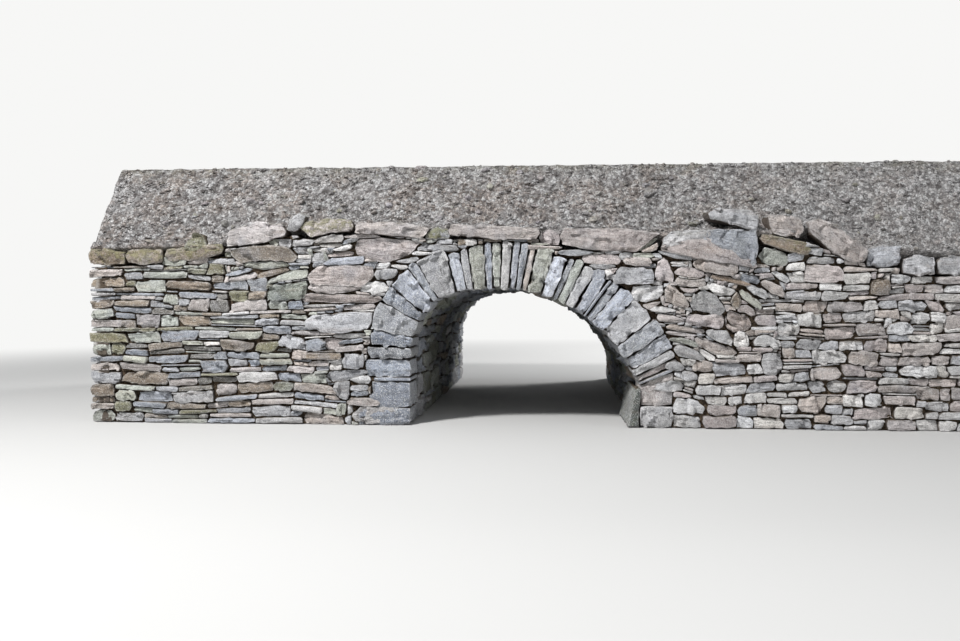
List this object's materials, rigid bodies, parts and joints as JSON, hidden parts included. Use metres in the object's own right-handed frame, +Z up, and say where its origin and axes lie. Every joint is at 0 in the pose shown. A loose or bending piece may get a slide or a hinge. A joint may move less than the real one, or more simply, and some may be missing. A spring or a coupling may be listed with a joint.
{
  "type": "stone arch bridge",
  "caption": "Small dry-stone arch bridge: a lopsided arch of slab voussoirs through rubble walls with cap stones, carrying an earth track over a stream.",
  "frame": {"origin": "middle of the footprint at the level of the stream bed", "axes": "+X along the track, to the right when looking at the downstream face; +Y across the bridge, from the downstream face to the upstream one; +Z up"},
  "size_m": [7.8, 4.92, 2.4],
  "materials": {
    "ring_stone": "rough",
    "vault_stone": "rough",
    "cap_stone": "rough",
    "rubble_wall": "rough",
    "hearting": "rough",
    "earth": "matte"
  },
  "bodies": {
    "root": {"barrel_crown": "vault_stone", "barrel_left_haunch": "vault_stone", "barrel_right_haunch": "vault_stone", "far_crown_slab": "cap_stone", "far_left_caps": "cap_stone", "far_left_jamb": "ring_stone", "far_left_spandrel": "rubble_wall", "far_left_wing": "rubble_wall", "far_right_caps": "cap_stone", "far_right_jamb": "ring_stone", "far_right_spandrel": "rubble_wall", "far_right_wing": "rubble_wall", "far_ring_crown": "ring_stone", "far_ring_left_haunch": "ring_stone", "far_ring_right_haunch": "ring_stone", "far_shoulder": "earth", "left_abutment": "vault_stone", "left_hearting": "hearting", "near_crown_block": "cap_stone", "near_crown_slab": "cap_stone", "near_left_end_caps": "cap_stone", "near_left_inner_cap": "cap_stone", "near_left_jamb": "ring_stone", "near_left_leaning_cap": "cap_stone", "near_left_outer_cap": "cap_stone", "near_left_spandrel": "rubble_wall", "near_left_wing": "rubble_wall", "near_mossy_cap": "cap_stone", "near_right_end_caps": "cap_stone", "near_right_great_cap": "cap_stone", "near_right_inner_cap": "cap_stone", "near_right_jamb": "ring_stone", "near_right_leaning_cap": "cap_stone", "near_right_outer_cap": "cap_stone", "near_right_spandrel": "rubble_wall", "near_right_wing": "rubble_wall", "near_ring_crown": "ring_stone", "near_ring_left_haunch": "ring_stone", "near_ring_right_haunch": "ring_stone", "near_shoulder": "earth", "near_upper_caps": "cap_stone", "right_abutment": "vault_stone", "right_footing_slab": "ring_stone", "right_hearting": "hearting", "road_fill": "earth"}
  },
  "joints": []
}
